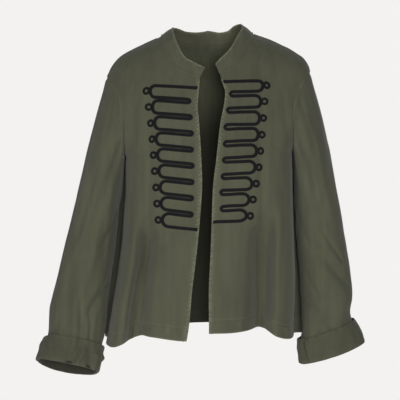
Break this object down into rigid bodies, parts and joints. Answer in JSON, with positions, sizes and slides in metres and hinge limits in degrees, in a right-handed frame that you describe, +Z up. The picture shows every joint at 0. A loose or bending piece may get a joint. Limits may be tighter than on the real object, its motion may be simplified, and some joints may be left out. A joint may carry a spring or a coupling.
{
  "type": "napoleon jacket",
  "caption": "Cropped military style jacket in washed olive cotton twill, worn open, with a stand collar, turned-up cuffs and black looped frogging down both fronts.",
  "frame": {"origin": "on the neck's axis, level with the inner ends of the shoulders, where the wearer's neck meets the shoulders", "axes": "+X to the wearer's left, +Y to the wearer's back, +Z up along the wearer"},
  "size_m": [0.6673, 0.2423, 0.7242],
  "materials": {
    "twill": "matte",
    "braid": "matte"
  },
  "bodies": {
    "root": {"front_right": "twill", "front_left": "twill", "back_panel": "twill", "sleeve_right": "twill", "sleeve_left": "twill", "cuff_right": "twill", "cuff_left": "twill", "collar": "twill", "braid_right": "braid", "braid_left": "braid", "eyelet_right_1": "braid", "eyelet_right_2": "braid", "eyelet_right_3": "braid", "eyelet_right_4": "braid", "eyelet_right_5": "braid", "eyelet_right_6": "braid", "eyelet_right_7": "braid", "eyelet_right_8": "braid", "eyelet_right_9": "braid", "eyelet_left_1": "braid", "eyelet_left_2": "braid", "eyelet_left_3": "braid", "eyelet_left_4": "braid", "eyelet_left_5": "braid", "eyelet_left_6": "braid", "eyelet_left_7": "braid", "eyelet_left_8": "braid", "eyelet_left_9": "braid"}
  },
  "joints": []
}
